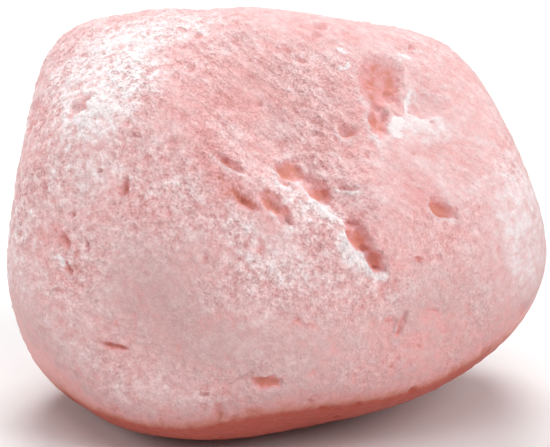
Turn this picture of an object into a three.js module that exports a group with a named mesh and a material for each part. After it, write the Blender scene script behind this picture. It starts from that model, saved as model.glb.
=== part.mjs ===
// A tumbled stone of rose quartz, as one solid: a rounded block with worn flats, a hollow broken face
// across its upper front right, and open pits, slits and small ledges.
// Millimetres. +Z is up, +X is the longest way across, and -Y is the front, where the broken face is.

import * as THREE from "three";
import { mergeVertices } from "three/addons/utils/BufferGeometryUtils.js";

// ---- Driving dimensions, in millimetres and degrees ----

// The heart is the point inside the stone that the flats are measured from. It stands this far above
// the resting face, and this far from the middle of the stone's box, to the right and to the back.
const HEART_HEIGHT = 11.1;
const HEART_RIGHT = -0.16;
const HEART_BACK = 0.01;

// The worn flats. turn goes round in plan from +X, tilt is above the level, reach is from the heart.
const FLATS = [
  { name: "front", turn: -104, tilt: 8, reach: 12.3 },
  { name: "front_right", turn: -62, tilt: -5, reach: 13.0 },
  { name: "broken_face", turn: -64, tilt: 50, reach: 11.0 },
  { name: "crown", turn: 55, tilt: 79, reach: 12.8 },
  { name: "left", turn: -175, tilt: 12, reach: 15.6 },
  { name: "left_shoulder", turn: -145, tilt: 59, reach: 14.4 },
  { name: "right", turn: 3, tilt: 19, reach: 14.9 },
  { name: "right_shoulder", turn: 6, tilt: 53, reach: 15.2 },
  { name: "right_under", turn: -10, tilt: -33, reach: 15.4 },
  { name: "under_right", turn: -36, tilt: -64, reach: 12.5 },
  { name: "under", turn: 0, tilt: -90, reach: 11.4 },
  { name: "left_under", turn: -154, tilt: -29, reach: 16.2 },
  { name: "under_left", turn: -141, tilt: -64, reach: 16.0 },
  { name: "front_under", turn: -82, tilt: -54, reach: 13.8 },
  { name: "back", turn: 88, tilt: 4, reach: 12.5 },
  { name: "back_shoulder", turn: 99, tilt: 50, reach: 12.9 },
  { name: "back_under", turn: 75, tilt: -47, reach: 13.5 },
  { name: "back_right", turn: 48, tilt: 5, reach: 14.4 },
  { name: "back_left", turn: 146, tilt: -8, reach: 14.1 },
];

// How sharp the worn edges between the flats are: a higher power leaves less rounding.
const EDGE_POWER = 12;

// Low swells that keep the flats from being true planes.
const SWELLS = [
  { length: 11.0, height: 0.10, turn: 20, tilt: 10 },
  { length: 7.5, height: 0.07, turn: -75, tilt: 35 },
  { length: 5.5, height: 0.05, turn: 130, tilt: -40 },
];

// Marks are drawn on sheets that stand through the heart, each seen square-on from a point this far
// out, and are pricked through to the surface along the lines to that point.
const SHEET_DISTANCE = 136;
const SHEETS = {
  front: { turn: -90, rise: 15 },
  right: { turn: 0, rise: 15 },
  back: { turn: 90, rise: 15 },
  left: { turn: 180, rise: 15 },
  top: { turn: -90, rise: 90 },
};

// A mark is an ellipse: where its middle is on the sheet, its length, its width and the slope of its
// long way, and how deep it goes. lean moves the deepest point off the middle, as parts of the half
// length and the half width, so that one wall is steep and the other is a ramp.

// Broad hollows with soft rims.
const HOLLOWS = [
  { name: "broken_dish", sheet: "front", across: 1.2, up: 5.6, length: 15, width: 9.0, slope: -42,
    depth: 1.0, lean: [0, -0.2] },
  { name: "ridge_step", sheet: "front", across: 4.3, up: 1.6, length: 8.6, width: 3.0, slope: -42,
    depth: 0.75, lean: [0, -0.65] },
  { name: "back_dish", sheet: "back", across: 3.4, up: 2.6, length: 10, width: 6.5, slope: 25,
    depth: 0.6, lean: [0.2, 0.3] },
  { name: "top_dish", sheet: "top", across: -4.5, up: 2.0, length: 7, width: 4.6, slope: -30,
    depth: 0.4, lean: [0, 0.3] },
];

// Steps where flakes have come away, and pits and slits. Their rims are sharp.
const STEPS = [
  { name: "recess_upper", sheet: "front", across: 6.2, up: 8.5, length: 3.2, width: 3.0, slope: -85,
    depth: 0.6, lean: [0.1, 0.55] },
  { name: "recess_lower", sheet: "front", across: 6.1, up: 6.3, length: 3.2, width: 1.4, slope: -76,
    depth: 0.55, lean: [0, 0.5] },
  { name: "flake_step", sheet: "front", across: 8.9, up: 7.1, length: 3.4, width: 1.5, slope: -6,
    depth: 0.3, lean: [0.1, -0.65] },
  { name: "back_flake", sheet: "back", across: 5.6, up: 6.4, length: 4.2, width: 2.2, slope: 28,
    depth: 0.5, lean: [0, -0.6] },
  { name: "left_flake", sheet: "left", across: 2.6, up: 3.6, length: 3.4, width: 1.9, slope: -34,
    depth: 0.4, lean: [0.2, 0.6] },
];
const PITS = [
  { name: "deep_pit_upper", sheet: "front", across: 5.1, up: -0.8, length: 2.4, width: 1.7, slope: -50,
    depth: 1.0, lean: [0, -0.3] },
  { name: "deep_pit_lower", sheet: "front", across: 5.9, up: -2.1, length: 2.0, width: 1.2, slope: -52,
    depth: 0.8, lean: [0, -0.3] },
  { name: "middle_pit", sheet: "front", across: 1.2, up: 3.35, length: 3.0, width: 1.5, slope: -12,
    depth: 0.5, lean: [-0.2, -0.3] },
  { name: "middle_pit_right", sheet: "front", across: 2.8, up: 2.15, length: 2.6, width: 1.5, slope: -42,
    depth: 0.5, lean: [0, -0.3] },
  { name: "trough", sheet: "front", across: -0.05, up: 1.1, length: 3.0, width: 1.0, slope: -42,
    depth: 0.4, lean: [0, -0.3] },
  { name: "slit_lower", sheet: "front", across: -1.7, up: 1.3, length: 2.7, width: 0.6, slope: -37,
    depth: 0.3, lean: [0, -0.3] },
  { name: "slit_upper", sheet: "front", across: -2.7, up: 3.6, length: 2.5, width: 0.6, slope: -32,
    depth: 0.3, lean: [0, -0.3] },
  { name: "face_pit", sheet: "front", across: 4.4, up: 5.6, length: 1.4, width: 0.8, slope: -20,
    depth: 0.35, lean: [0, -0.3] },
  { name: "left_slot", sheet: "front", across: -11.7, up: 6.9, length: 2.3, width: 0.7, slope: 46,
    depth: 0.4, lean: [0, -0.3] },
  { name: "left_front_pit", sheet: "front", across: -8.9, up: 2.1, length: 1.4, width: 0.7, slope: 70,
    depth: 0.35, lean: [0.3, 0.2] },
  { name: "left_side_pit", sheet: "front", across: -12.8, up: -1.1, length: 1.5, width: 0.7, slope: -65,
    depth: 0.4, lean: [0, 0.3] },
  { name: "low_pit", sheet: "front", across: -0.5, up: -9.5, length: 1.9, width: 1.1, slope: 5,
    depth: 0.4, lean: [0, 0.5] },
  { name: "right_pit", sheet: "front", across: 10.2, up: 0.8, length: 2.3, width: 1.1, slope: -30,
    depth: 0.45, lean: [0, -0.3] },
  { name: "back_pit", sheet: "back", across: -2.6, up: 3.4, length: 2.2, width: 1.3, slope: 35,
    depth: 0.8, lean: [0, -0.3] },
  { name: "back_pit_low", sheet: "back", across: 4.8, up: -3.6, length: 1.6, width: 0.8, slope: -15,
    depth: 0.4, lean: [0, -0.3] },
  { name: "back_slit", sheet: "back", across: -8.2, up: -1.4, length: 2.4, width: 0.5, slope: 60,
    depth: 0.4, lean: [0, -0.3] },
  { name: "right_side_pit", sheet: "right", across: 2.4, up: 1.8, length: 1.8, width: 1.0, slope: 40,
    depth: 0.6, lean: [0, -0.3] },
  { name: "left_back_pit", sheet: "left", across: -4.2, up: 2.0, length: 1.7, width: 0.9, slope: -50,
    depth: 0.5, lean: [0, -0.3] },
  { name: "top_pit", sheet: "top", across: 3.0, up: 4.2, length: 1.9, width: 1.0, slope: 15,
    depth: 0.5, lean: [0, -0.3] },
];

// The facets' longest edge on plain surface, and round a pit as a share of the pit's width.
const PLAIN_EDGE = 1.5;
const PIT_EDGE_SHARE = 0.3;
const FINEST_EDGE = 0.22;
// How far past its rim a pit's fine facets go.
const FINE_MARGIN = 0.08;
// Passes of splitting that take the icosahedron's edges below the finest edge.
const SPLIT_PASSES = 7;

const STONE_COLOUR = 0xe3b6b3;
const STONE_ROUGHNESS = 0.75;

// ---- The form, as a distance from the heart for every direction ----

const RADIANS = Math.PI / 180;

function direction(turn, tilt) {
  const level = Math.cos(tilt * RADIANS);
  return new THREE.Vector3(
    level * Math.cos(turn * RADIANS),
    level * Math.sin(turn * RADIANS),
    Math.sin(tilt * RADIANS),
  );
}

const flatPlanes = FLATS.map(({ turn, tilt, reach }) => ({ normal: direction(turn, tilt), reach }));

// The rounded block: the flats' planes cut each other, and the power rounds where they meet.
function blockReach(way) {
  let sum = 0;
  for (const { normal, reach } of flatPlanes) {
    const share = Math.max(0, way.dot(normal)) / reach;
    sum += share ** EDGE_POWER;
  }
  return sum ** (-1 / EDGE_POWER);
}

function blockPoint(way) {
  return way.clone().multiplyScalar(blockReach(way));
}

const swellWaves = SWELLS.map(({ length, height, turn, tilt }) => ({
  normal: direction(turn, tilt),
  perMillimetre: 2 * Math.PI / length,
  height,
}));

function swellHeight(point) {
  return swellWaves.reduce(
    (total, wave) => total + wave.height * Math.sin(wave.perMillimetre * point.dot(wave.normal)),
    0,
  );
}

function sheetAxes({ turn, rise }) {
  const toward = direction(turn, rise);
  const right = direction(turn + 90, 0);
  const up = new THREE.Vector3().crossVectors(toward, right);
  return { toward, right, up };
}

const sheetFrames = Object.fromEntries(
  Object.entries(SHEETS).map(([name, sheet]) => [name, sheetAxes(sheet)]),
);

// Where a point falls from a mark's middle, in millimetres along and over its long way. It is null on
// the far side of the stone, where the mark doesn't go.
function placeInMark(point, mark) {
  const { toward, right, up } = sheetFrames[mark.sheet];
  const nearness = point.dot(toward);
  if (nearness <= 0) return null;
  const scale = SHEET_DISTANCE / (SHEET_DISTANCE - nearness);
  const x = point.dot(right) * scale - mark.across;
  const y = point.dot(up) * scale - mark.up;
  const cosine = Math.cos(mark.slope * RADIANS);
  const sine = Math.sin(mark.slope * RADIANS);
  return { along: x * cosine + y * sine, over: y * cosine - x * sine };
}

// 0 at the mark's rim and 1 at its deepest point, which lean moves off the middle.
function inwardness(point, mark) {
  const place = placeInMark(point, mark);
  if (place === null) return 0;
  const along = place.along / (mark.length / 2);
  const over = place.over / (mark.width / 2);
  const square = along * along + over * over;
  if (square >= 1) return 0;
  const [leanAlong, leanOver] = mark.lean;
  const rest = 1 - leanAlong * leanAlong - leanOver * leanOver;
  const half = 1 - along * leanAlong - over * leanOver;
  return (half - Math.sqrt(half * half - rest * (1 - square))) / rest;
}

function hollowDepth(point) {
  return HOLLOWS.reduce((total, hollow) => {
    const inward = inwardness(point, hollow);
    return total + hollow.depth * inward * inward * (3 - 2 * inward);
  }, 0);
}

const sharpMarks = [...STEPS, ...PITS];

function pitDepth(point) {
  return sharpMarks.reduce((total, pit) => {
    const inward = inwardness(point, pit);
    return total + pit.depth * inward * (2 - inward);
  }, 0);
}

// The stone's surface over a point of the block, worn level where the stone rests.
function surfacePoint(block) {
  const reach = block.length() + swellHeight(block) - hollowDepth(block) - pitDepth(block);
  const surface = block.clone().setLength(reach);
  if (surface.z < -HEART_HEIGHT) surface.multiplyScalar(-HEART_HEIGHT / surface.z);
  return surface;
}

// ---- The facets: an icosahedron whose long edges are split until they fit the form ----

// Whether an edge of this length, with its middle here, comes up to a pit.
function edgeMeetsPit(middle, length, pit) {
  const place = placeInMark(middle, pit);
  if (place === null) return false;
  const around = length / 2 + FINE_MARGIN;
  return Math.hypot(place.along / (pit.length / 2 + around), place.over / (pit.width / 2 + around)) < 1;
}

function edgeIsLong(middle, length) {
  if (length > PLAIN_EDGE) return true;
  return sharpMarks.some((pit) => (
    length > Math.max(FINEST_EDGE, pit.width * PIT_EDGE_SHARE) && edgeMeetsPit(middle, length, pit)
  ));
}

// A triangle with any of its edges split at the middle, as the triangles that then fill it.
function fillSplitTriangle([a, b, c], [ab, bc, ca]) {
  if (ab === null && bc === null && ca === null) return [[a, b, c]];
  if (ab !== null && bc !== null && ca !== null) {
    return [[a, ab, ca], [ab, b, bc], [ca, bc, c], [ab, bc, ca]];
  }
  // Turned until the edge a-b is split and the edge c-a is whole.
  if (ab === null || ca !== null) return fillSplitTriangle([b, c, a], [bc, ca, ab]);
  if (bc === null) return [[a, ab, c], [ab, b, c]];
  return [[ab, b, bc], [a, ab, bc], [a, bc, c]];
}

// One pass over the triangles. blocks holds each corner's place on the block before swells and marks,
// and grows by the middles of the edges that were too long.
function splitLongEdges(blocks, triangles) {
  const middles = new Map();
  const middleOf = (a, b) => {
    const edge = `${Math.min(a, b)} ${Math.max(a, b)}`;
    if (!middles.has(edge)) {
      const middle = blockPoint(blocks[a].clone().add(blocks[b]).normalize());
      const isLong = edgeIsLong(middle, blocks[a].distanceTo(blocks[b]));
      middles.set(edge, isLong ? blocks.push(middle) - 1 : null);
    }
    return middles.get(edge);
  };
  return triangles.flatMap(([a, b, c]) => (
    fillSplitTriangle([a, b, c], [middleOf(a, b), middleOf(b, c), middleOf(c, a)])
  ));
}

function stoneGeometry() {
  const icosahedron = new THREE.IcosahedronGeometry(1);
  icosahedron.deleteAttribute("normal");
  icosahedron.deleteAttribute("uv");
  const start = mergeVertices(icosahedron);

  const blocks = [];
  for (let i = 0; i < start.attributes.position.count; i += 1) {
    const corner = new THREE.Vector3().fromBufferAttribute(start.attributes.position, i);
    blocks.push(blockPoint(corner.normalize()));
  }
  let triangles = [];
  for (let i = 0; i < start.index.count; i += 3) {
    triangles.push([start.index.getX(i), start.index.getX(i + 1), start.index.getX(i + 2)]);
  }
  for (let pass = 0; pass < SPLIT_PASSES; pass += 1) {
    triangles = splitLongEdges(blocks, triangles);
  }

  const corners = blocks.flatMap((block) => surfacePoint(block).toArray());
  const geometry = new THREE.BufferGeometry();
  geometry.setAttribute("position", new THREE.Float32BufferAttribute(corners, 3));
  geometry.setIndex(triangles.flat());
  geometry.computeVertexNormals();
  return geometry;
}

// ---- The stone, standing on its resting face at the origin ----

function makeStone() {
  const material = new THREE.MeshStandardMaterial({
    color: STONE_COLOUR,
    roughness: STONE_ROUGHNESS,
    metalness: 0,
  });
  const stone = new THREE.Mesh(stoneGeometry(), material);
  stone.name = "stone";
  stone.position.set(HEART_RIGHT, HEART_BACK, HEART_HEIGHT);
  return stone;
}

const part = new THREE.Group();
part.add(makeStone());

export default part;
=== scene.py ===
from collections import namedtuple

import bmesh
import bpy
import numpy as np
from mathutils import Matrix, Vector


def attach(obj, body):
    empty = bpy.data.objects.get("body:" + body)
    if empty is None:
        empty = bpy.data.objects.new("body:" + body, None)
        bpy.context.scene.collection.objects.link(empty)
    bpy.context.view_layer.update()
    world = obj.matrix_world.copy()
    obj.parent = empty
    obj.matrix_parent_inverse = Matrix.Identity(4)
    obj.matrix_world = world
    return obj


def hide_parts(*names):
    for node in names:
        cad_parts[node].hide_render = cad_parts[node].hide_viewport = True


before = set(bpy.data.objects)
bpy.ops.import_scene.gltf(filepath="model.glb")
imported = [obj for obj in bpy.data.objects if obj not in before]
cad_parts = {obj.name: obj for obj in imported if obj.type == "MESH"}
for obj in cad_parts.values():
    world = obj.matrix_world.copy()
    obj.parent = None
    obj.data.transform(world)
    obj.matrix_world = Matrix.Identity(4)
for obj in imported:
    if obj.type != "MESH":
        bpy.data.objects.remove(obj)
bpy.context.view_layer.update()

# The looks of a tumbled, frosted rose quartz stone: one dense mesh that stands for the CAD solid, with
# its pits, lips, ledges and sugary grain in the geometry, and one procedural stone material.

MM = 0.001

# ---- The stone's form: the same named values as the solid, in millimetres and degrees ----

HEART = (-0.16, 0.01, 11.1)

# Worn flats: turn in plan from +X, tilt above the level, reach from the heart.
FLATS = {
    "front": (-104, 8, 12.3),
    "front_right": (-62, -5, 13.0),
    "broken_face": (-64, 50, 11.0),
    "crown": (55, 79, 12.8),
    "left": (-175, 12, 15.6),
    "left_shoulder": (-145, 59, 14.4),
    "right": (3, 19, 14.9),
    "right_shoulder": (6, 53, 15.2),
    "right_under": (-10, -33, 15.4),
    "under_right": (-36, -64, 12.5),
    "under": (0, -90, 11.4),
    "left_under": (-154, -29, 16.2),
    "under_left": (-141, -64, 16.0),
    "front_under": (-82, -54, 13.8),
    "back": (88, 4, 12.5),
    "back_shoulder": (99, 50, 12.9),
    "back_under": (75, -47, 13.5),
    "back_right": (48, 5, 14.4),
    "back_left": (146, -8, 14.1),
}
EDGE_POWER = 12

# Low swells: wavelength, height, and the turn and tilt that they run along.
SWELLS = [
    (11.0, 0.10, 20, 10),
    (7.5, 0.07, -75, 35),
    (5.5, 0.05, 130, -40),
]

# Sheets that marks are drawn on: turn and rise. They are seen from a point this far from the heart.
SHEET_DISTANCE = 136
SHEETS = {
    "front": (-90, 15),
    "right": (0, 15),
    "back": (90, 15),
    "left": (180, 15),
    "top": (-90, 90),
}

# A mark is an ellipse drawn on a sheet: where its middle is, its length, width and slope, its depth at
# the deepest point, how far that point leans off the middle, as shares of half the length and half
# the width, and how strongly the rim is crushed white.
Mark = namedtuple(
    "Mark",
    "sheet across up length width slope depth lean_along lean_over crushed",
    defaults=(0,),
)

# A patch is an ellipse drawn on a sheet too, with the strength of what it does to the surface.
Patch = namedtuple("Patch", "sheet across up length width slope strength")


def named(kind, table):
    """The rows of a table as marks or patches, under their own names."""
    return {name: kind(*row) for name, row in table.items()}


# Broad hollows, with soft rims.
HOLLOWS = named(Mark, {
    "broken_dish": ("front", 1.2, 5.6, 15, 9.0, -42, 1.0, 0, -0.2),
    "ridge_step": ("front", 4.3, 1.6, 8.6, 3.0, -42, 0.75, 0, -0.65),
    "back_dish": ("back", 3.4, 2.6, 10, 6.5, 25, 0.6, 0.2, 0.3),
    "top_dish": ("top", -4.5, 2.0, 7, 4.6, -30, 0.4, 0, 0.3),
})

# Steps where flakes have come away.
STEPS = named(Mark, {
    "recess_upper": ("front", 6.2, 8.5, 3.2, 3.0, -85, 0.6, 0.1, 0.55, 0.2),
    "recess_lower": ("front", 6.1, 6.3, 3.2, 1.4, -76, 0.55, 0, 0.5, 0.5),
    "flake_step": ("front", 8.9, 7.1, 3.4, 1.5, -6, 0.3, 0.1, -0.65, 0.3),
    "back_flake": ("back", 5.6, 6.4, 4.2, 2.2, 28, 0.5, 0, -0.6, 0.4),
    "left_flake": ("left", 2.6, 3.6, 3.4, 1.9, -34, 0.4, 0.2, 0.6, 0.4),
})

# Pits and slits down to the raw stone.
PITS = named(Mark, {
    "deep_pit_upper": ("front", 5.1, -0.8, 2.4, 1.7, -50, 1.0, 0, -0.3, 0.9),
    "deep_pit_lower": ("front", 5.9, -2.1, 2.0, 1.2, -52, 0.8, 0, -0.3, 1.0),
    "middle_pit": ("front", 1.2, 3.35, 3.0, 1.5, -12, 0.5, -0.2, -0.3, 0.5),
    "middle_pit_right": ("front", 2.8, 2.15, 2.6, 1.5, -42, 0.5, 0, -0.3, 0.9),
    "trough": ("front", -0.05, 1.1, 3.0, 1.0, -42, 0.4, 0, -0.3, 0.4),
    "slit_lower": ("front", -1.7, 1.3, 2.7, 0.6, -37, 0.3, 0, -0.3, 0.3),
    "slit_upper": ("front", -2.7, 3.6, 2.5, 0.6, -32, 0.3, 0, -0.3, 0.7),
    "face_pit": ("front", 4.4, 5.6, 1.4, 0.8, -20, 0.35, 0, -0.3, 0.3),
    "left_slot": ("front", -11.7, 6.9, 2.3, 0.7, 46, 0.4, 0, -0.3, 0.8),
    "left_front_pit": ("front", -8.9, 2.1, 1.4, 0.7, 70, 0.35, 0.3, 0.2, 0.3),
    "left_side_pit": ("front", -12.8, -1.1, 1.5, 0.7, -65, 0.4, 0, 0.3, 0.2),
    "low_pit": ("front", -0.5, -9.5, 1.9, 1.1, 5, 0.4, 0, 0.5, 0.0),
    "right_pit": ("front", 10.2, 0.8, 2.3, 1.1, -30, 0.45, 0, -0.3, 0.5),
    "back_pit": ("back", -2.6, 3.4, 2.2, 1.3, 35, 0.8, 0, -0.3, 0.7),
    "back_pit_low": ("back", 4.8, -3.6, 1.6, 0.8, -15, 0.4, 0, -0.3, 0.4),
    "back_slit": ("back", -8.2, -1.4, 2.4, 0.5, 60, 0.4, 0, -0.3, 0.5),
    "right_side_pit": ("right", 2.4, 1.8, 1.8, 1.0, 40, 0.6, 0, -0.3, 0.6),
    "left_back_pit": ("left", -4.2, 2.0, 1.7, 0.9, -50, 0.5, 0, -0.3, 0.5),
    "top_pit": ("top", 3.0, 4.2, 1.9, 1.0, 15, 0.5, 0, -0.3, 0.5),
})

# ---- The finer form and the wear, which the solid doesn't have ----

# Small marks that only the fine mesh holds.
SMALL_MARKS = named(Mark, {
    "left_side_slit": ("front", -12.5, -2.7, 1.5, 0.4, -65, 0.35, 0, 0.3, 0.3),
    "low_arc": ("front", -9.7, -7.4, 2.2, 0.5, -12, 0.4, 0, -0.3, 0.1),
    "right_crack": ("front", 7.4, -6.0, 2.0, 0.4, 70, 0.25, 0, 0, 0.2),
    "deep_pit_brow": ("front", 4.9, 0.1, 1.5, 0.5, -10, 0.14, 0, -0.3, 0.2),
    "deep_pit_foot": ("front", 6.3, -2.75, 0.8, 0.4, -20, 0.3, 0, -0.3, 0.6),
    "middle_pit_limb": ("front", 0.5, 2.7, 1.5, 0.6, -42, 0.4, 0, -0.4, 0.6),
    "middle_pit_tail": ("front", 3.7, 1.1, 1.1, 0.35, -38, 0.2, 0, -0.3, 0.6),
    "trough_tail": ("front", 0.9, 0.1, 1.5, 0.35, -45, 0.2, 0, -0.3, 0.3),
    "top_notch": ("front", 2.7, 11.6, 1.0, 0.5, -10, 0.3, 0, -0.4, 0.0),
    "edge_blotch": ("front", 8.2, 10.5, 0.7, 0.4, 20, 0.2, 0, -0.4, 0.2),
    "left_dot_upper": ("front", -8.1, 5.2, 0.6, 0.35, 0, 0.2, 0, -0.4, 0.2),
    "left_dot": ("front", -10.4, 3.1, 0.6, 0.35, 10, 0.2, 0, -0.4, 0.3),
    "left_edge_dot": ("front", -13.9, 2.3, 0.6, 0.4, -50, 0.2, 0, 0.4, 0.1),
    "left_edge_slit": ("front", -12.1, 0.6, 0.7, 0.35, 80, 0.2, 0, 0.4, 0.1),
    "left_side_nick": ("front", -11.4, -1.3, 0.8, 0.35, -80, 0.25, 0, 0.3, 0.1),
    "front_dot_left": ("front", -10.7, -4.7, 0.5, 0.4, 0, 0.12, 0, 0.3, 0.0),
    "front_dot": ("front", -7.7, -3.0, 0.6, 0.5, 20, 0.12, 0, -0.3, 0.2),
    "low_crack": ("front", -1.7, -9.0, 3.1, 0.34, 31, 0.12, 0, 0.0, 0.0),
    "low_dot": ("front", -4.3, -10.2, 0.8, 0.35, 5, 0.2, 0, -0.4, 0.0),
    "right_dot": ("front", 8.5, -2.1, 0.55, 0.45, 0, 0.2, 0, -0.3, 0.2),
    "right_bracket": ("front", 11.9, -4.4, 1.3, 0.5, 15, 0.12, 0, -0.3, 0.0),
    "right_crack_hook": ("front", 9.3, -5.1, 0.9, 0.35, 5, 0.15, 0, -0.3, 0.1),
    "small_ledge": ("front", 4.6, 2.2, 1.2, 0.4, -8, 0.2, 0, -0.6, 0.8),
    "ridge_dot": ("front", 2.2, -2.9, 0.4, 0.4, 0, 0.15, 0, -0.3, 0.2),
    "recess_lobe": ("front", 7.2, 7.4, 1.9, 0.8, -70, 0.3, 0, 0.4, 0.1),
})

# Where the surface is whiter than the rest, or pinker where the strength is below 0. The glints among
# them are painted highlights.
FROST_AND_GLINT_PATCHES = named(Patch, {
    "crest": ("front", -9.9, 8.6, 9.6, 7.4, 45, 0.40),
    "crest_top": ("front", -6.6, 11.4, 9.0, 2.6, 12, 0.30),
    "shoulder": ("front", -11.4, 4.4, 9, 6.0, 75, 0.14),
    "slot_lip": ("front", -10.7, 6.4, 3.4, 1.6, 40, 0.30),
    "left_edge": ("front", -15.4, -1.5, 12, 2.6, 86, 0.14),
    "left_foot": ("front", -13.6, -6.6, 6, 3.0, -55, 0.16),
    "right_edge": ("front", 14.8, -0.6, 13, 4.2, -80, 0.32),
    "ridge": ("front", 3.4, 0.4, 4.6, 1.0, -40, 0.55),
    "ridge_upper": ("front", 0.8, 1.7, 5.4, 1.7, -41, 0.24),
    "ridge_beside_pit": ("front", 4.5, -1.9, 3.2, 1.4, -58, 0.45),
    "ridge_under_pit": ("front", 5.9, -3.0, 2.6, 0.9, -8, 0.45),
    "ridge_foot": ("front", 1.9, -3.2, 8.0, 3.2, -20, 0.07),
    "centre": ("front", -0.6, -1.6, 9.0, 4.6, -38, 0.10),
    "recess_lip": ("front", 7.15, 5.75, 1.7, 1.0, 62, 1.3),
    "recess_lip_upper": ("front", 7.95, 7.15, 1.2, 0.7, 80, 0.9),
    "recess_corner": ("front", 7.9, 9.8, 0.8, 0.5, 0, 0.5),
    "dome": ("front", 8.9, 5.7, 4.6, 2.4, -8, 0.35),
    # Painted highlights: two small glints.
    "glint_upper": ("front", 3.95, 10.15, 0.5, 0.34, -60, 0.9),
    "glint_lower": ("front", 4.05, 9.25, 0.5, 0.4, -60, 1.0),
    "left_chip": ("front", -12.95, -2.2, 0.9, 0.36, -78, 1.3),
    # Painted highlight: a glint on the crack.
    "crack_glint": ("front", 7.6, -7.1, 0.2, 0.2, 0, 1.0),
    "broken_corner": ("front", -4.0, 7.6, 8.6, 8.0, -60, -0.12),
    "broken_face": ("front", 1.5, 7.6, 14, 9.0, -20, -0.09),
    "broken_band": ("front", -2.4, 3.0, 10, 4.2, -45, -0.13),
    "beside_slits": ("front", -3.6, 2.6, 6.0, 1.8, -46, -0.15),
    "round_trough": ("front", -1.2, 0.9, 4.6, 2.2, -40, -0.20),
    "in_slit_upper": ("front", -2.5, 3.4, 3.2, 1.0, -36, -0.09),
    "in_slit_lower": ("front", -1.6, 1.2, 3.2, 0.9, -38, -0.09),
    "in_trough": ("front", 0.0, 1.0, 3.4, 1.2, -43, -0.09),
    "in_middle_pit": ("front", 1.15, 3.3, 2.7, 1.7, -12, -0.04),
    "in_middle_pit_limb": ("front", 0.6, 2.6, 1.9, 1.0, -42, -0.08),
    "in_middle_pit_right": ("front", 2.85, 2.1, 2.4, 1.5, -42, -0.07),
    "in_deep_pit_upper": ("front", 5.0, -0.5, 2.2, 1.6, -30, -0.04),
    "in_deep_pit_lower": ("front", 5.6, -1.7, 3.2, 1.6, -54, -0.04),
    "in_right_pit": ("front", 10.2, 0.8, 2.5, 1.3, -30, -0.08),
    "in_low_pit": ("front", -0.5, -9.5, 2.1, 1.4, 5, -0.22),
    "beyond_deep_pit": ("front", 8.6, -0.6, 9.0, 7.0, -60, -0.14),
    "low_right": ("front", 8.4, -6.8, 10, 5.0, 20, -0.18),
    "low_left": ("front", -8.4, -8.4, 8.0, 3.4, -25, -0.08),
})

# The flats that tumbling has worn smooth, and how smooth each one is.
WORN_FLATS = {
    "front": 0.1,
    "left": 0.15,
    "back": 0.3,
    "right": 0.5,
    "right_shoulder": 0.3,
    "front_right": 0.3,
    "front_under": 0.9,
    "left_under": 0.8,
    "right_under": 0.8,
    "back_under": 0.7,
    "under_left": 1.0,
    "under_right": 1.0,
    "under": 1.0,
}

# Places that are worn smoother still.
WORN_PLACES = named(Patch, {
    "low_left": ("front", -7.0, -4.4, 15, 13, -20, 0.55),
    "low_middle": ("front", -1.0, -7.6, 18, 8, 0, 0.4),
    "low_right": ("front", 9.6, -5.0, 12, 8.0, 20, 0.3),
})

# Places where the grain is finer and lower.
CALM_PLACES = named(Patch, {
    "dome": ("front", 9.6, 5.2, 16, 13, -70, 0.55),
    "right_end": ("front", 14.6, -1.5, 14, 7, -80, 0.5),
    "top_rim": ("front", 3.0, 12.4, 20, 6.0, -8, 0.5),
})


# ---- Directions, sheets and marks ----


def direction(turn, tilt):
    level = np.cos(np.radians(tilt))
    return np.array([
        level * np.cos(np.radians(turn)),
        level * np.sin(np.radians(turn)),
        np.sin(np.radians(tilt)),
    ])


FLAT_NORMALS = np.array([direction(turn, tilt) for turn, tilt, _ in FLATS.values()])
FLAT_REACHES = np.array([reach for _, _, reach in FLATS.values()])


def sheet_axes(turn, rise):
    toward = direction(turn, rise)
    right = direction(turn + 90, 0)
    return toward, right, np.cross(toward, right)


SHEET_AXES = {name: sheet_axes(turn, rise) for name, (turn, rise) in SHEETS.items()}


def block_points(ways):
    """The rounded block, where the flats' planes cut each other, in each direction from the heart."""
    shares = np.maximum(0, ways @ FLAT_NORMALS.T) / FLAT_REACHES
    reach = (shares ** EDGE_POWER).sum(axis=1) ** (-1 / EDGE_POWER)
    return ways * reach[:, None]


def swell_heights(points):
    total = np.zeros(len(points))
    for length, height, turn, tilt in SWELLS:
        total += height * np.sin(2 * np.pi / length * (points @ direction(turn, tilt)))
    return total


def on_sheet(points, sheet):
    """Where points fall on a sheet, in millimetres across and up, and which are on its near side."""
    toward, right, up = SHEET_AXES[sheet]
    nearness = points @ toward
    scale = SHEET_DISTANCE / (SHEET_DISTANCE - nearness)
    return (points @ right) * scale, (points @ up) * scale, nearness > 0


# Stands for a place on the stone's far side, in half lengths and half widths of a mark.
FAR_OUTSIDE = 1000.0


def place_in_mark(points, mark):
    """Places in half lengths and half widths of a mark, far outside it on the stone's far side."""
    x, y, near = on_sheet(points, mark.sheet)
    x = x - mark.across
    y = y - mark.up
    cosine = np.cos(np.radians(mark.slope))
    sine = np.sin(np.radians(mark.slope))
    along = (x * cosine + y * sine) / (mark.length / 2)
    over = (y * cosine - x * sine) / (mark.width / 2)
    return np.where(near, along, FAR_OUTSIDE), np.where(near, over, FAR_OUTSIDE)


def inwardness(along, over, lean_along=0, lean_over=0):
    """0 at a mark's rim and 1 at its deepest point, which lean moves off the middle."""
    square = along ** 2 + over ** 2
    rest = 1 - lean_along ** 2 - lean_over ** 2
    half = 1 - along * lean_along - over * lean_over
    inward = (half - np.sqrt(np.maximum(0, half ** 2 - rest * (1 - square)))) / rest
    return np.where(square < 1, inward, 0)


# ---- Random relief, from seeded lattices ----

LATTICE = 32
# Turns the lattices off the stone's axes, so that no grain lines up with them.
OFF_AXES = np.array(Matrix.Rotation(0.7, 3, "X") @ Matrix.Rotation(1.1, 3, "Y"))


def smooth_step(low, high, values):
    share = np.clip((values - low) / (high - low), 0, 1)
    return share * share * (3 - 2 * share)


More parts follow.
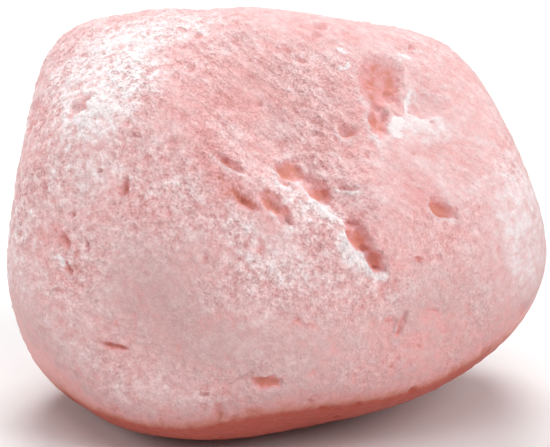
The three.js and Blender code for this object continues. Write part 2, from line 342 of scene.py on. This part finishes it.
def value_noise(points, cell, seed):
    """Smooth random values between -1 and 1 that change over about one cell."""
    values = np.random.default_rng(seed).uniform(-1, 1, (LATTICE,) * 3)
    place = points / cell
    low = np.floor(place).astype(int)
    part = smooth_step(0, 1, place - low)
    total = np.zeros(len(points))
    for corner in np.ndindex(2, 2, 2):
        weight = np.where(corner, part, 1 - part).prod(axis=1)
        x, y, z = ((low + corner) % LATTICE).T
        total += weight * values[x, y, z]
    return total


def grain(points, cell, seed, octaves, fade=0.55):
    """Layers of noise, each with half the cell of the one before and the next seed."""
    turned = points @ OFF_AXES
    total = np.zeros(len(points))
    for octave in range(octaves):
        total += fade ** octave * value_noise(turned, cell / 2 ** octave, seed + octave)
    return total


def flat_shares(blocks):
    """How far each point of the block belongs to each of the flats, from 0 to 1."""
    ways = blocks / np.linalg.norm(blocks, axis=1)[:, None]
    shares = (np.maximum(0, ways @ FLAT_NORMALS.T) / FLAT_REACHES) ** EDGE_POWER
    return shares / shares.sum(axis=1)[:, None]


def downward(shares):
    """How far the block faces down, from -1 to 1, without its relief."""
    normals = shares @ (FLAT_NORMALS / FLAT_REACHES[:, None])
    return -normals[:, 2] / np.linalg.norm(normals, axis=1)


# ---- The dense mesh: a geodesic sphere, split finer round the marks ----

# Each edge of the icosahedron is cut in this many parts. Then, in this many passes, the edges that lie
# within this margin of a mark and are longer than this are cut in two.
SPHERE_PARTS = 80
MARK_PASSES = 2
MARK_MARGIN = 0.25
MARK_EDGE = 0.10


def icosahedron():
    mesh = bmesh.new()
    bmesh.ops.create_icosphere(mesh, subdivisions=1, radius=1)
    corners = np.array([vertex.co for vertex in mesh.verts])
    triangles = np.array([[vertex.index for vertex in face.verts] for face in mesh.faces])
    mesh.free()
    return corners, triangles


def cut_triangle(parts):
    """The corners of the small triangles that one big triangle is cut into, and its points."""
    steps = [(i, j) for i in range(parts + 1) for j in range(parts + 1 - i)]
    index = {step: n for n, step in enumerate(steps)}
    upright = [
        (index[i, j], index[i + 1, j], index[i, j + 1])
        for i, j in steps if i + j < parts
    ]
    turned = [
        (index[i + 1, j], index[i + 1, j + 1], index[i, j + 1])
        for i, j in steps if i + j < parts - 1
    ]
    weights = np.array([(parts - i - j, i, j) for i, j in steps]) / parts
    return np.array(upright + turned), weights


def geodesic_sphere(parts):
    """Unit directions and triangles, from an icosahedron whose edges are cut in this many parts."""
    corners, faces = icosahedron()
    cells, weights = cut_triangle(parts)
    points = np.concatenate([weights @ corners[face] for face in faces])
    triangles = np.concatenate([cells + n * len(weights) for n in range(len(faces))])
    points /= np.linalg.norm(points, axis=1)[:, None]
    _, first, shared = np.unique(points.round(6), axis=0, return_index=True, return_inverse=True)
    return points[first], shared.ravel()[triangles]


def edges_near_marks(middles, lengths):
    near = np.zeros(len(middles), bool)
    around = lengths / 2 + MARK_MARGIN
    for mark in (*STEPS.values(), *PITS.values(), *SMALL_MARKS.values()):
        along, over = place_in_mark(middles, mark)
        half_length, half_width = mark.length / 2, mark.width / 2
        along *= half_length / (half_length + around)
        over *= half_width / (half_width + around)
        near |= np.hypot(along, over) < 1
    return near & (lengths > MARK_EDGE)


def split_edges_near_marks(ways, triangles):
    """One pass: edges near a mark are cut at the middle, and their triangles are filled again."""
    pairs = np.sort(triangles[:, [[0, 1], [1, 2], [2, 0]]], axis=2).reshape(-1, 2)
    edges, edge_of = np.unique(pairs, axis=0, return_inverse=True)
    ends = block_points(ways)[edges]
    middle_ways = ways[edges].sum(axis=1)
    middle_ways /= np.linalg.norm(middle_ways, axis=1)[:, None]
    lengths = np.linalg.norm(ends[:, 0] - ends[:, 1], axis=1)
    is_cut = edges_near_marks(block_points(middle_ways), lengths)
    middle_index = np.full(len(edges), -1)
    middle_index[is_cut] = len(ways) + np.arange(is_cut.sum())
    middles = middle_index[edge_of.ravel()].reshape(-1, 3)

    # Each triangle is turned until its first edge is cut and its last is whole, where only some are.
    count = (middles >= 0).sum(axis=1)
    for _ in range(2):
        turn = (count > 0) & (count < 3) & ((middles[:, 0] < 0) | (middles[:, 2] >= 0))
        triangles = np.where(turn[:, None], np.roll(triangles, -1, axis=1), triangles)
        middles = np.where(turn[:, None], np.roll(middles, -1, axis=1), middles)
    (a, b, c), (ab, bc, ca) = triangles.T, middles.T
    fills = {
        0: [(a, b, c)],
        1: [(a, ab, c), (ab, b, c)],
        2: [(ab, b, bc), (a, ab, bc), (a, bc, c)],
        3: [(a, ab, ca), (ab, b, bc), (ca, bc, c), (ab, bc, ca)],
    }
    filled = [
        np.stack(corners, axis=1)[count == cuts] for cuts, fill in fills.items() for corners in fill
    ]
    return np.concatenate([ways, middle_ways[is_cut]]), np.concatenate(filled)


# ---- The surface: block, swells, hollows, marks, lips, ledges and grain ----

# Seeds of the random layers. A layer with several octaves takes as many seeds in a row.
SPECK_SEED = 7
RIM_SEEDS = (27, 37)
STREAK_SEED = 47
COARSE_SEED = 57
FINE_SEED = 67
LEDGE_SEED = 77
FRAY_SEED = 87

# A mark's outline wanders by this much, over about this distance, and less across a narrow mark.
RIM_WANDER = 0.19
RIM_CELL = 0.65
# Small marks wander by this share of it, and frost patches by this many times it.
SMALL_MARK_WANDER = 0.6
PATCH_WANDER = 1.6

# From which depth steps and pits begin to open the raw stone, and from which they fully do.
STEP_RAW_DEPTHS = (0.2, 0.6)
PIT_RAW_DEPTHS = (0.0, 0.65)

# Raw stone begins at a mark's rim. It is fully bare inside this share of the outline and beyond this
# share of the way in, and the outline counts for this much of the two.
RIM_BARE_INSIDE = 0.7
WAY_IN_BARE_FROM = 0.6
RIM_BARE_SHARE = 0.35

# How raggedly the raw stone of a mark gives way to frost, and over about which distance.
RIM_FRAYING = 0.16
RIM_FRAY_CELL = 0.4

# How far steps and specks open the raw stone at most.
STEP_OPENNESS = 0.8
SPECK_OPENNESS = 0.4

# Crushed lips lie outside a rim, most of all towards this slope, its low left, with a little of one
# all round. They fade outwards over this distance and end at the next.
LIP_SLOPE = -118
LIP_ALL_ROUND = 0.1
LIP_REACH = 0.26
LIP_END = 4 * LIP_REACH
# Inside the rim they end after this distance, and are gone after this share of the way in.
LIP_INSIDE = 0.15
LIP_GONE_FROM = 0.25
LIP_HEIGHT = 0.05

# A frost patch is at full strength from this share of the way in, and pits keep this much of it out.
PATCH_FULL_FROM = 0.7
PATCH_KEPT_OUT = 0.85

# Tiny pits scattered all round the stone: how many, how wide, what share of that width each one
# keeps, how many times as long as wide, how the deepest point leans, and how deep for the width.
SPECK_PITS = 520
SPECK_WIDTH = (0.26, 0.75)
SPECK_SHARE_KEPT = (0.5, 1)
SPECK_STRETCHING = (1, 2.2)
SPECK_LEAN = (0.2, 0.4)
SPECK_DEPTH_SHARE = 0.34
# They are fully open from this share of the way in.
SPECK_OPEN_FROM = 0.6

# How fast the dish of the broken face grows fully broken from its rim inwards.
DISH_BREAKAGE = 1.6

# Calm places are fully calm from this share of the way in.
CALM_FULL_FROM = 0.6

# The grain: how high it stands on smooth worn faces and on rough ones, how wide its coarse and fine
# cells are, and how much of each octave the next one keeps.
WORN_GRAIN = 0.018
ROUGH_GRAIN = 0.066
COARSE_CELL = 1.1
COARSE_FADE = 0.6
FINE_CELL = 0.40
FINE_FADE = 0.8
# How much of the grain the material sees as crests.
CREST_SHARE = 0.6

# Ledges on the broken face: how wide, how many to one height of the noise, how much of each is its
# flat tread, and how high.
LEDGE_CELL = 2.2
LEDGE_STEPS = 3
LEDGE_TREAD = 0.65
LEDGE_HEIGHT = 0.10

# Streaks on the broken face: how long, wide and deep their cells are, how high and at what slope.
STREAK_CELL = (2.2, 0.42, 0.9)
STREAK_HEIGHT = 0.030
STREAK_SLOPE = -40

# How much of that relief the pits lose.
PIT_SMOOTHNESS = 0.75

# The deeper, darker stone of the underside, partly the stone's deeper tone and partly painted shade:
# how far down the surface faces where it begins to show, over what span it grows, and by what power, so
# that it grows slowly at first.
UNDER_SHADE_FROM = 0.08
UNDER_SHADE_SPAN = 0.58
UNDER_SHADE_POWER = 1.5

NO_WANDER = np.zeros((1, 2))
NEARLY_ZERO = 1e-6


def rim_wander(blocks):
    return RIM_WANDER * np.stack([
        grain(blocks, RIM_CELL, seed, octaves=2) for seed in RIM_SEEDS
    ], axis=1)


def lip_share(along, over, inward, mark):
    """How much of a crushed lip there is at each point round a mark, from 0 to 1."""
    rim = np.maximum(np.hypot(along, over), NEARLY_ZERO)
    outside = (rim - 1) * np.hypot(along * mark.length / 2, over * mark.width / 2) / rim
    turn = np.radians(mark.slope - LIP_SLOPE)
    facing = (along * np.cos(turn) - over * np.sin(turn)) / rim
    side = np.clip(LIP_ALL_ROUND + facing, 0, 1)
    fall = np.exp(-(np.maximum(0, outside) / LIP_REACH) ** 2)
    shallow = 1 - smooth_step(0, LIP_GONE_FROM, inward)
    near = (outside > -LIP_INSIDE) & (outside < LIP_END)
    return np.where(near, mark.crushed * side * fall * shallow, 0)


def mark_fields(points, marks, wander, raw_depths):
    """Depth, openness and lip over all the marks, where openness is 1 well inside one."""
    frayed = RIM_FRAYING * grain(points, RIM_FRAY_CELL, FRAY_SEED, octaves=2)
    depth = np.zeros(len(points))
    openness = np.zeros(len(points))
    lip = np.zeros(len(points))
    for mark in marks:
        along, over = place_in_mark(points, mark)
        along = along + wander[:, 0] * 2 / mark.length
        over = over + wander[:, 1] * min(1, mark.width) ** 3 * 2 / mark.width
        inward = inwardness(along, over, mark.lean_along, mark.lean_over)
        depth += mark.depth * inward * (2 - inward)
        by_rim = smooth_step(1, RIM_BARE_INSIDE, np.hypot(along, over))
        by_way_in = smooth_step(0, WAY_IN_BARE_FROM, inward + frayed)
        bared = RIM_BARE_SHARE * by_rim + (1 - RIM_BARE_SHARE) * by_way_in
        openness = np.maximum(openness, bared * smooth_step(*raw_depths, mark.depth))
        lip = np.maximum(lip, lip_share(along, over, inward, mark))
    return depth, openness, lip


def speck_fields(blocks):
    """Depth and openness over the tiny random pits, each an ellipse in the surface."""
    random = np.random.default_rng(SPECK_SEED)
    depth = np.zeros(len(blocks))
    openness = np.zeros(len(blocks))
    for _ in range(SPECK_PITS):
        way = random.normal(size=3)
        way /= np.linalg.norm(way)
        middle = block_points(way[None])[0]
        width = random.uniform(*SPECK_WIDTH) * random.uniform(*SPECK_SHARE_KEPT)
        length = width * random.uniform(*SPECK_STRETCHING)
        first = np.cross(way, random.normal(size=3))
        first /= np.linalg.norm(first)
        second = np.cross(way, first)
        offset = blocks - middle
        near = (np.abs(offset) < length).all(axis=1)
        along = offset[near] @ first / (length / 2)
        over = offset[near] @ second / (width / 2)
        inward = inwardness(along, over, *SPECK_LEAN)
        depth[near] += width * SPECK_DEPTH_SHARE * inward * (2 - inward)
        openness[near] = np.maximum(openness[near], smooth_step(0, SPECK_OPEN_FROM, inward))
    return np.stack([depth, openness])


def all_mark_fields(blocks, wander):
    """Depth, openness and lip over the steps, pits, small marks and specks, which stay out of pits."""
    step_depth, step_open, step_lip = mark_fields(blocks, STEPS.values(), wander, STEP_RAW_DEPTHS)
    pit_depth, pit_open, pit_lip = mark_fields(blocks, PITS.values(), wander, PIT_RAW_DEPTHS)
    small_depth, small_open, small_lip = mark_fields(
        blocks, SMALL_MARKS.values(), SMALL_MARK_WANDER * wander, PIT_RAW_DEPTHS
    )
    speck_depth, speck_open = speck_fields(blocks) * (1 - np.maximum(pit_open, step_open))
    openness = np.maximum.reduce([
        pit_open, small_open, STEP_OPENNESS * step_open, SPECK_OPENNESS * speck_open,
    ])
    lip = np.maximum.reduce([step_lip, pit_lip, small_lip])
    return step_depth + pit_depth + small_depth + speck_depth, openness, lip


def patch_share(points, patch, full_from, wander=NO_WANDER):
    """0 at a patch's rim and beyond it, and 1 from this share of the way in."""
    along, over = place_in_mark(points, patch)
    along = along + wander[:, 0] * 2 / patch.length
    over = over + wander[:, 1] * 2 / patch.width
    return smooth_step(0, full_from, inwardness(along, over))


def frost_field(points, wander, openness):
    """How much whiter than the rest each point is, from the frost patches and the painted glints, which
    stop at the pits.
    """
    frost = np.zeros(len(points))
    for patch in FROST_AND_GLINT_PATCHES.values():
        frost += patch.strength * patch_share(points, patch, PATCH_FULL_FROM, wander)
    return np.where(frost > 0, frost * (1 - PATCH_KEPT_OUT * openness), frost)


def surface_kinds(blocks, shares):
    """How broken, how rough and how calm the surface is at each point, from 0 to 1."""
    share_of = dict(zip(FLATS, shares.T))
    dish = inwardness(*place_in_mark(blocks, HOLLOWS["broken_dish"]))
    broken = np.maximum(share_of["broken_face"], np.clip(DISH_BREAKAGE * dish, 0, 1))
    worn = sum(smoothness * share_of[name] for name, smoothness in WORN_FLATS.items())
    for place in WORN_PLACES.values():
        worn += place.strength * patch_share(blocks, place, 1)
    rough = np.clip(1 - worn * (1 - broken), 0, 1)
    calm = np.zeros(len(blocks))
    for place in CALM_PLACES.values():
        calm = np.maximum(calm, place.strength * patch_share(blocks, place, CALM_FULL_FROM))
    return broken, rough, calm


def hollow_depths(blocks):
    total = np.zeros(len(blocks))
    for mark in HOLLOWS.values():
        inward = inwardness(*place_in_mark(blocks, mark), mark.lean_along, mark.lean_over)
        total += mark.depth * smooth_step(0, 1, inward)
    return total


def terraces(values, steps):
    """Values drawn together into flat treads with short risers between them."""
    scaled = values * steps
    tread = np.floor(scaled)
    return (tread + smooth_step(LEDGE_TREAD, 1, scaled - tread)) / steps


def streak_noise(blocks):
    """Noise drawn out along the slope of the broken face."""
    toward, right, up = SHEET_AXES["front"]
    slope = np.radians(STREAK_SLOPE)
    axes = np.array([
        np.cos(slope) * right + np.sin(slope) * up,
        np.cos(slope) * up - np.sin(slope) * right,
        toward,
    ])
    return value_noise(blocks @ axes.T, np.array(STREAK_CELL), STREAK_SEED)


def broken_relief(blocks, broken):
    """Ledges and streaks, which stand on the broken face alone."""
    ledges = terraces(grain(blocks, LEDGE_CELL, LEDGE_SEED, octaves=2), LEDGE_STEPS)
    return broken * (LEDGE_HEIGHT * ledges + STREAK_HEIGHT * streak_noise(blocks))


def stone_surface(ways):
    """Points of the finished surface round the heart, and the fields that the material reads."""
    blocks = block_points(ways)
    shares = flat_shares(blocks)
    broken, rough, calm = surface_kinds(blocks, shares)
    wander = rim_wander(blocks)
    mark_depth, openness, lip = all_mark_fields(blocks, wander)

    coarse = grain(blocks, COARSE_CELL, COARSE_SEED, octaves=3, fade=COARSE_FADE)
    fine = grain(blocks, FINE_CELL, FINE_SEED, octaves=2, fade=FINE_FADE)
    grain_height = (WORN_GRAIN + (ROUGH_GRAIN - WORN_GRAIN) * rough) * (1 - calm)
    relief = grain_height * (coarse + fine) + broken_relief(blocks, broken)
    relief *= 1 - PIT_SMOOTHNESS * openness
    relief += LIP_HEIGHT * lip * (1 + fine)

    reach = np.linalg.norm(blocks, axis=1)
    depth = hollow_depths(blocks) + mark_depth
    surface = blocks * ((reach + swell_heights(blocks) + relief - depth) / reach)[:, None]
    below = surface[:, 2] < -HEART[2]
    surface[below] *= (-HEART[2] / surface[below, 2])[:, None]
    fields = {
        "pit": openness,
        "lip": lip,
        "rough": rough,
        "frost": frost_field(blocks, PATCH_WANDER * wander, openness),
        "crest": CREST_SHARE * (coarse + fine),
        # Painted shade: how far the surface faces down, which darkens and deepens the colour there.
        "under": np.clip((downward(shares) - UNDER_SHADE_FROM) / UNDER_SHADE_SPAN, 0, 1) ** UNDER_SHADE_POWER,
        "broken": broken,
        "calm": calm,
    }
    return surface, fields


def make_stone():
    ways, triangles = geodesic_sphere(SPHERE_PARTS)
    for _ in range(MARK_PASSES):
        ways, triangles = split_edges_near_marks(ways, triangles)
    surface, fields = stone_surface(ways)
    mesh = bpy.data.meshes.new("frosted_stone")
    mesh.from_pydata(((surface + HEART) * MM).tolist(), [], triangles.tolist())
    for name, values in fields.items():
        attribute = mesh.attributes.new(name, "FLOAT", "POINT")
        attribute.data.foreach_set("value", values.astype(np.float32))
    mesh.polygons.foreach_set("use_smooth", np.ones(len(mesh.polygons), bool))
    mesh.update()
    stone = bpy.data.objects.new("frosted_stone", mesh)
    bpy.context.scene.collection.objects.link(stone)
    print("stone triangles", len(triangles))
    return stone


# ---- The stone's material ----

# The fields that the mesh holds for the material.
FIELDS = ("pit", "lip", "rough", "frost", "crest", "under", "broken", "calm")

# Colours as sRGB shares: deep stone on the underside, darkened partly as painted shade, raw stone in
# the pits, clear pink stone, pink stone under thin frost, frost, and crushed white. Each one has its
# place on a scale of frost.
DEEP_STONE_AND_SHADE = (0.81, 0.35, 0.275)
RAW_STONE = (0.90, 0.585, 0.525)
PINK_STONE = (0.93, 0.665, 0.655)
THIN_FROST = (0.94, 0.715, 0.715)
FROST = (0.95, 0.80, 0.80)
CRUSHED = (0.985, 0.94, 0.945)
RAW_FROST = 0.10
STOPS = [
    (0.0, DEEP_STONE_AND_SHADE),
    (RAW_FROST, RAW_STONE),
    (0.22, PINK_STONE),
    (0.38, THIN_FROST),
    (0.60, FROST),
    (1.0, CRUSHED),
]

# A darker, duller tone on worn faces, how much of it there is at most, and over which frost it comes.
DARK_WORN_TONE = (0.785, 0.635, 0.625)
DARK_WORN_SHARE = 0.9
DARK_WORN_FROST = (0.20, 0.50)

# Noise layers: how wide their cells are in millimetres, how many octaves they have, how rough they are.
NOISES = {
    "patchy": {"cell": 3.0, "detail": 3.0},
    "grit": {"cell": 0.14, "detail": 1.0, "roughness": 0.6},
    "round_lumps": {"cell": 0.42, "detail": 2.0, "roughness": 0.6},
    "long_lumps": {"cell": (1.3, 0.6, 0.32), "detail": 2.0, "roughness": 0.6},
    "mottle": {"cell": 0.55, "detail": 3.0, "roughness": 0.6},
    "clouds": {"cell": 2.2, "detail": 4.0, "roughness": 0.6},
    "streaks": {"cell": (2.6, 0.9, 0.6), "detail": 3.0},
}
SUGAR_CELL = 0.13

# How strong the grain is over a span of the patchy noise, from worn to rough places, and from open
# faces into pits.
PATCHY_SPAN = (-0.8, 0.8)
PATCHY_STRENGTH = (0.55, 1.35)
ROUGH_STRENGTH = (0.25, 1.1)
PIT_STRENGTH = (1.0, 0.25)

# How much round and long lumps count, from elsewhere to the broken face.
ROUND_LUMPS = (1.0, 0.3)
LONG_LUMPS = (0.2, 0.8)

# How much each layer adds to the grain's peaks, to the frost, and to the relief in millimetres.
PEAK_WEIGHTS = {"sugar": 0.30, "grit": 0.47, "lumps": 0.73}
FROST_LEVEL = 0.53
FROST_WEIGHTS = {
    "peaks": 0.33,
    "mottle": 0.16,
    "clouds": 0.15,
    "streaks": 0.12,
    "crest": 0.07,
    "pit": -0.42,
    "lip": 0.6,
}
RELIEF_WEIGHTS = {"grit": 0.022, "lumps": 0.076}

# How strong the frost patches are over a span of the grain, from its valleys to its peaks.
PATCH_SPAN = (-1.0, 1.0)
PATCH_STRENGTH = (0.5, 1.3)

# Painted light and shade: how bright the stone is over a span of the grain, darker in its valleys and
# lighter on its peaks, and how much painted shade darkens the broken face and the underside.
PEAK_SPAN = (-1.2, 1.2)
PEAK_LIGHT_AND_SHADE = (0.70, 1.11)
BROKEN_FACE_SHADE = -0.08
UNDERSIDE_SHADE = -0.20

# How dull the stone is over a span of frost, and how quartz reflects.
ROUGHNESS_SPAN = (0.0, 0.7)
ROUGHNESS = (0.45, 0.85)
QUARTZ_IOR = 1.54
SPECULAR = 0.35

# How much light scatters under the surface, from open faces into pits, and how far: the distance in
# millimetres, and the shares of it that red, green and blue light go.
GLOW_WEIGHT = (0.15, 0.7)
GLOW_DEPTH = 0.6
GLOW_RADIUS = (1.0, 0.42, 0.35)


def linear(colour):
    """An sRGB colour as linear light, with a full alpha."""
    return tuple(((c + 0.055) / 1.055) ** 2.4 for c in colour) + (1.0,)


class Shader:
    """Short calls for building a node tree: every value given is a number or another node's output."""

    def __init__(self, material):
        material.use_nodes = True
        self.tree = material.node_tree
        self.tree.nodes.clear()

    def fill(self, socket, value):
        if isinstance(value, bpy.types.NodeSocket):
            self.tree.links.new(value, socket)
        else:
            socket.default_value = value

    def node(self, kind, values=(), **settings):
        made = self.tree.nodes.new(kind)
        for name, value in settings.items():
            setattr(made, name, value)
        for socket, value in dict(values).items():
            self.fill(made.inputs[socket], value)
        return made

    def math(self, operation, first, second):
        return self.node("ShaderNodeMath", {0: first, 1: second}, operation=operation).outputs[0]

    def add(self, first, *others):
        for other in others:
            first = self.math("ADD", first, other)
        return first

    def product(self, first, *others):
        for other in others:
            first = self.math("MULTIPLY", first, other)
        return first

    def weighted(self, layers, weights):
        """The sum of the layers named in the weights, each by its weight."""
        return self.add(*(self.product(layers[name], weight) for name, weight in weights.items()))

    def vector_scaled(self, vector, scale):
        values = {"Vector": vector, "Scale": scale}
        return self.node("ShaderNodeVectorMath", values, operation="SCALE").outputs[0]

    def ranged(self, value, span=(0.0, 1.0), to=(0.0, 1.0)):
        """A value eased from one span to another."""
        return self.node("ShaderNodeMapRange", {
            "Value": value, "From Min": span[0], "From Max": span[1], "To Min": to[0], "To Max": to[1],
        }, interpolation_type="SMOOTHSTEP").outputs[0]

    def mixed(self, kind, share, first, second):
        """One number or colour turned into another by this share."""
        made = self.node("ShaderNodeMix", data_type=kind)
        sockets = {socket.name: socket for socket in made.inputs if socket.enabled}
        for name, value in {"Factor": share, "A": first, "B": second}.items():
            self.fill(sockets[name], value)
        return next(socket for socket in made.outputs if socket.enabled)

    def noise(self, place, cell, detail, roughness=0.5):
        """Noise about 0, between about -1 and 1. A cell of three lengths lies along the streaks."""
        if isinstance(cell, tuple):
            place = self.stretched(place, cell)
            cell = 1.0
        values = {"Vector": place, "Scale": 1 / cell, "Detail": detail, "Roughness": roughness}
        made = self.node("ShaderNodeTexNoise", values)
        return self.product(self.math("SUBTRACT", made.outputs[0], 0.5), 3.0)

    def flicker(self, place, cell):
        """A random value between -0.5 and 0.5 in each grain about a cell wide."""
        grains = self.node("ShaderNodeTexVoronoi", {"Vector": place, "Scale": 1 / cell})
        chance = self.node("ShaderNodeSeparateColor", {0: grains.outputs["Color"]}).outputs[0]
        return self.math("SUBTRACT", chance, 0.5)

    def field(self, name):
        return self.node("ShaderNodeAttribute", attribute_name=name).outputs["Fac"]

    def stretched(self, place, lengths):
        """Places measured in these lengths along the stone's streaks, across them and out of them."""
        return self.node("ShaderNodeMapping", {
            "Vector": place, "Rotation": (0, -np.radians(STREAK_SLOPE), 0), "Scale": lengths,
        }, vector_type="TEXTURE").outputs[0]


def grain_strength(shader, layers):
    """How strong the grain is: patchy, and weaker on worn and calm places and in the pits."""
    return shader.product(
        shader.ranged(layers["patchy"], PATCHY_SPAN, PATCHY_STRENGTH),
        shader.math("SUBTRACT", 1.0, layers["calm"]),
        shader.ranged(layers["rough"], to=ROUGH_STRENGTH),
        shader.ranged(layers["pit"], to=PIT_STRENGTH),
    )


def lumps(shader, layers):
    """Lumps of the grain, drawn out along the streaks on the broken face."""
    return shader.add(
        shader.product(layers["round_lumps"], shader.ranged(layers["broken"], to=ROUND_LUMPS)),
        shader.product(layers["long_lumps"], shader.ranged(layers["broken"], to=LONG_LUMPS)),
    )


def frost_scale(shader, layers):
    """Where the stone is on the scale of frost: raw or above, and the deep stone on the underside,
    which is partly painted shade.
    """
    valleys_to_peaks = shader.add(layers["peaks"], layers["mottle"])
    patches = shader.product(
        layers["frost"], shader.ranged(valleys_to_peaks, PATCH_SPAN, PATCH_STRENGTH)
    )
    frosted = shader.add(FROST_LEVEL, patches, shader.weighted(layers, FROST_WEIGHTS))
    # Facing down, the scale falls to the deep stone: painted shade with a deeper tone on the underside.
    return shader.mixed("FLOAT", layers["under"], shader.math("MAXIMUM", frosted, RAW_FROST), 0.0)


def frost_colour(shader, frost):
    ramp = shader.node("ShaderNodeValToRGB", {"Fac": frost})
    while len(ramp.color_ramp.elements) < len(STOPS):
        ramp.color_ramp.elements.new(0.5)
    for element, (position, colour) in zip(ramp.color_ramp.elements, STOPS):
        element.position = position
        element.color = linear(colour)
    return ramp.outputs["Color"]


def stone_colour(shader, frost, layers):
    """The stone's colour by its frost, darker where worn, with painted light on the grain's peaks and
    painted shade in its valleys, on the broken face and underneath.
    """
    darkening = shader.product(
        shader.ranged(layers["rough"], (1.0, 0.0)),
        shader.ranged(frost, DARK_WORN_FROST),
        DARK_WORN_SHARE,
    )
    # Painted light and shade: lighter on the grain's peaks, darker in its valleys, on the broken face
    # and underneath.
    brightness = shader.add(
        shader.ranged(layers["peaks"], PEAK_SPAN, PEAK_LIGHT_AND_SHADE),
        shader.product(layers["broken"], BROKEN_FACE_SHADE),
        shader.product(layers["under"], UNDERSIDE_SHADE),
    )
    darkened = shader.mixed("RGBA", darkening, frost_colour(shader, frost), linear(DARK_WORN_TONE))
    return shader.vector_scaled(darkened, brightness)


def rose_quartz():
    material = bpy.data.materials.new("frosted_rose_quartz")
    shader = Shader(material)
    metres = shader.node("ShaderNodeTexCoord").outputs["Object"]
    place = shader.vector_scaled(metres, 1 / MM)
    layers = {name: shader.field(name) for name in FIELDS}
    layers |= {name: shader.noise(place, **values) for name, values in NOISES.items()}
    layers["sugar"] = shader.flicker(place, SUGAR_CELL)
    layers["lumps"] = lumps(shader, layers)

    strength = grain_strength(shader, layers)
    layers["peaks"] = shader.product(strength, shader.weighted(layers, PEAK_WEIGHTS))
    frost = frost_scale(shader, layers)
    height = shader.product(strength, shader.weighted(layers, RELIEF_WEIGHTS))
    bump = shader.node("ShaderNodeBump", {"Strength": 1.0, "Distance": MM, "Height": height})
    principled = shader.node("ShaderNodeBsdfPrincipled", {
        "Base Color": stone_colour(shader, frost, layers),
        "Roughness": shader.ranged(frost, ROUGHNESS_SPAN, ROUGHNESS),
        "Normal": bump.outputs[0],
        "IOR": QUARTZ_IOR,
        "Specular IOR Level": SPECULAR,
        "Subsurface Weight": shader.ranged(layers["pit"], to=GLOW_WEIGHT),
        "Subsurface Radius": GLOW_RADIUS,
        "Subsurface Scale": GLOW_DEPTH * MM,
    })
    shader.node("ShaderNodeOutputMaterial", {"Surface": principled.outputs[0]})
    return material


# ---- The floor, the lights and the camera ----

FLOOR_HALF = 1.2
FLOOR_COLOUR = (0.93, 0.93, 0.93)
FLOOR_ROUGHNESS = 0.8
WORLD_BRIGHTNESS = 0.22
LENS = 150
SENSOR = 36

# Soft lamps on a dome round the stone: turn, rise and watts.
LAMP_DISTANCE = 0.72
LAMP_SIZE = 0.5
LAMPS = {
    "back": (90, 60, 3.2),
    "overhead": (-90, 65, 1.65),
    "right": (-33, 36, 2.6),
    "left": (-178, 22, 1.9),
}


def plain_material(name, colour, roughness):
    material = bpy.data.materials.new(name)
    shader = Shader(material)
    values = {"Base Color": linear(colour), "Roughness": roughness}
    principled = shader.node("ShaderNodeBsdfPrincipled", values)
    shader.node("ShaderNodeOutputMaterial", {"Surface": principled.outputs[0]})
    return material


def make_floor():
    mesh = bpy.data.meshes.new("floor")
    signs = ((-1, -1), (1, -1), (1, 1), (-1, 1))
    corners = [(x * FLOOR_HALF, y * FLOOR_HALF, 0) for x, y in signs]
    mesh.from_pydata(corners, [], [(0, 1, 2, 3)])
    mesh.materials.append(plain_material("pale_floor", FLOOR_COLOUR, FLOOR_ROUGHNESS))
    floor = bpy.data.objects.new("floor", mesh)
    bpy.context.scene.collection.objects.link(floor)


def aim(thing, place, target):
    thing.location = place
    thing.rotation_euler = (Vector(target) - Vector(place)).to_track_quat("-Z", "Y").to_euler()


def make_light(name, turn, rise, watts):
    lamp = bpy.data.lights.new(name, "AREA")
    lamp.shape = "DISK"
    lamp.size = LAMP_SIZE
    lamp.energy = watts
    light = bpy.data.objects.new(name, lamp)
    bpy.context.scene.collection.objects.link(light)
    aim(light, LAMP_DISTANCE * direction(turn, rise), np.array(HEART) * MM)


def make_world(brightness):
    world = bpy.data.worlds.new("white_room")
    world.use_nodes = True
    background = world.node_tree.nodes["Background"]
    background.inputs["Color"].default_value = (1, 1, 1, 1)
    background.inputs["Strength"].default_value = brightness
    bpy.context.scene.world = world


def make_camera():
    """A camera at the point that the front sheet is seen from."""
    heart = np.array(HEART) * MM
    lens = bpy.data.cameras.new("camera")
    lens.lens = LENS
    lens.sensor_width = SENSOR
    camera = bpy.data.objects.new("camera", lens)
    bpy.context.scene.collection.objects.link(camera)
    toward = SHEET_AXES["front"][0]
    aim(camera, heart + toward * SHEET_DISTANCE * MM, heart)
    bpy.context.scene.camera = camera


stone = make_stone()
stone.data.materials.append(rose_quartz())
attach(stone, "root")
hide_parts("stone")

make_floor()
for name, (turn, rise, watts) in LAMPS.items():
    make_light(name, turn, rise, watts)
make_world(WORLD_BRIGHTNESS)
make_camera()
bpy.context.scene.view_settings.view_transform = "Standard"
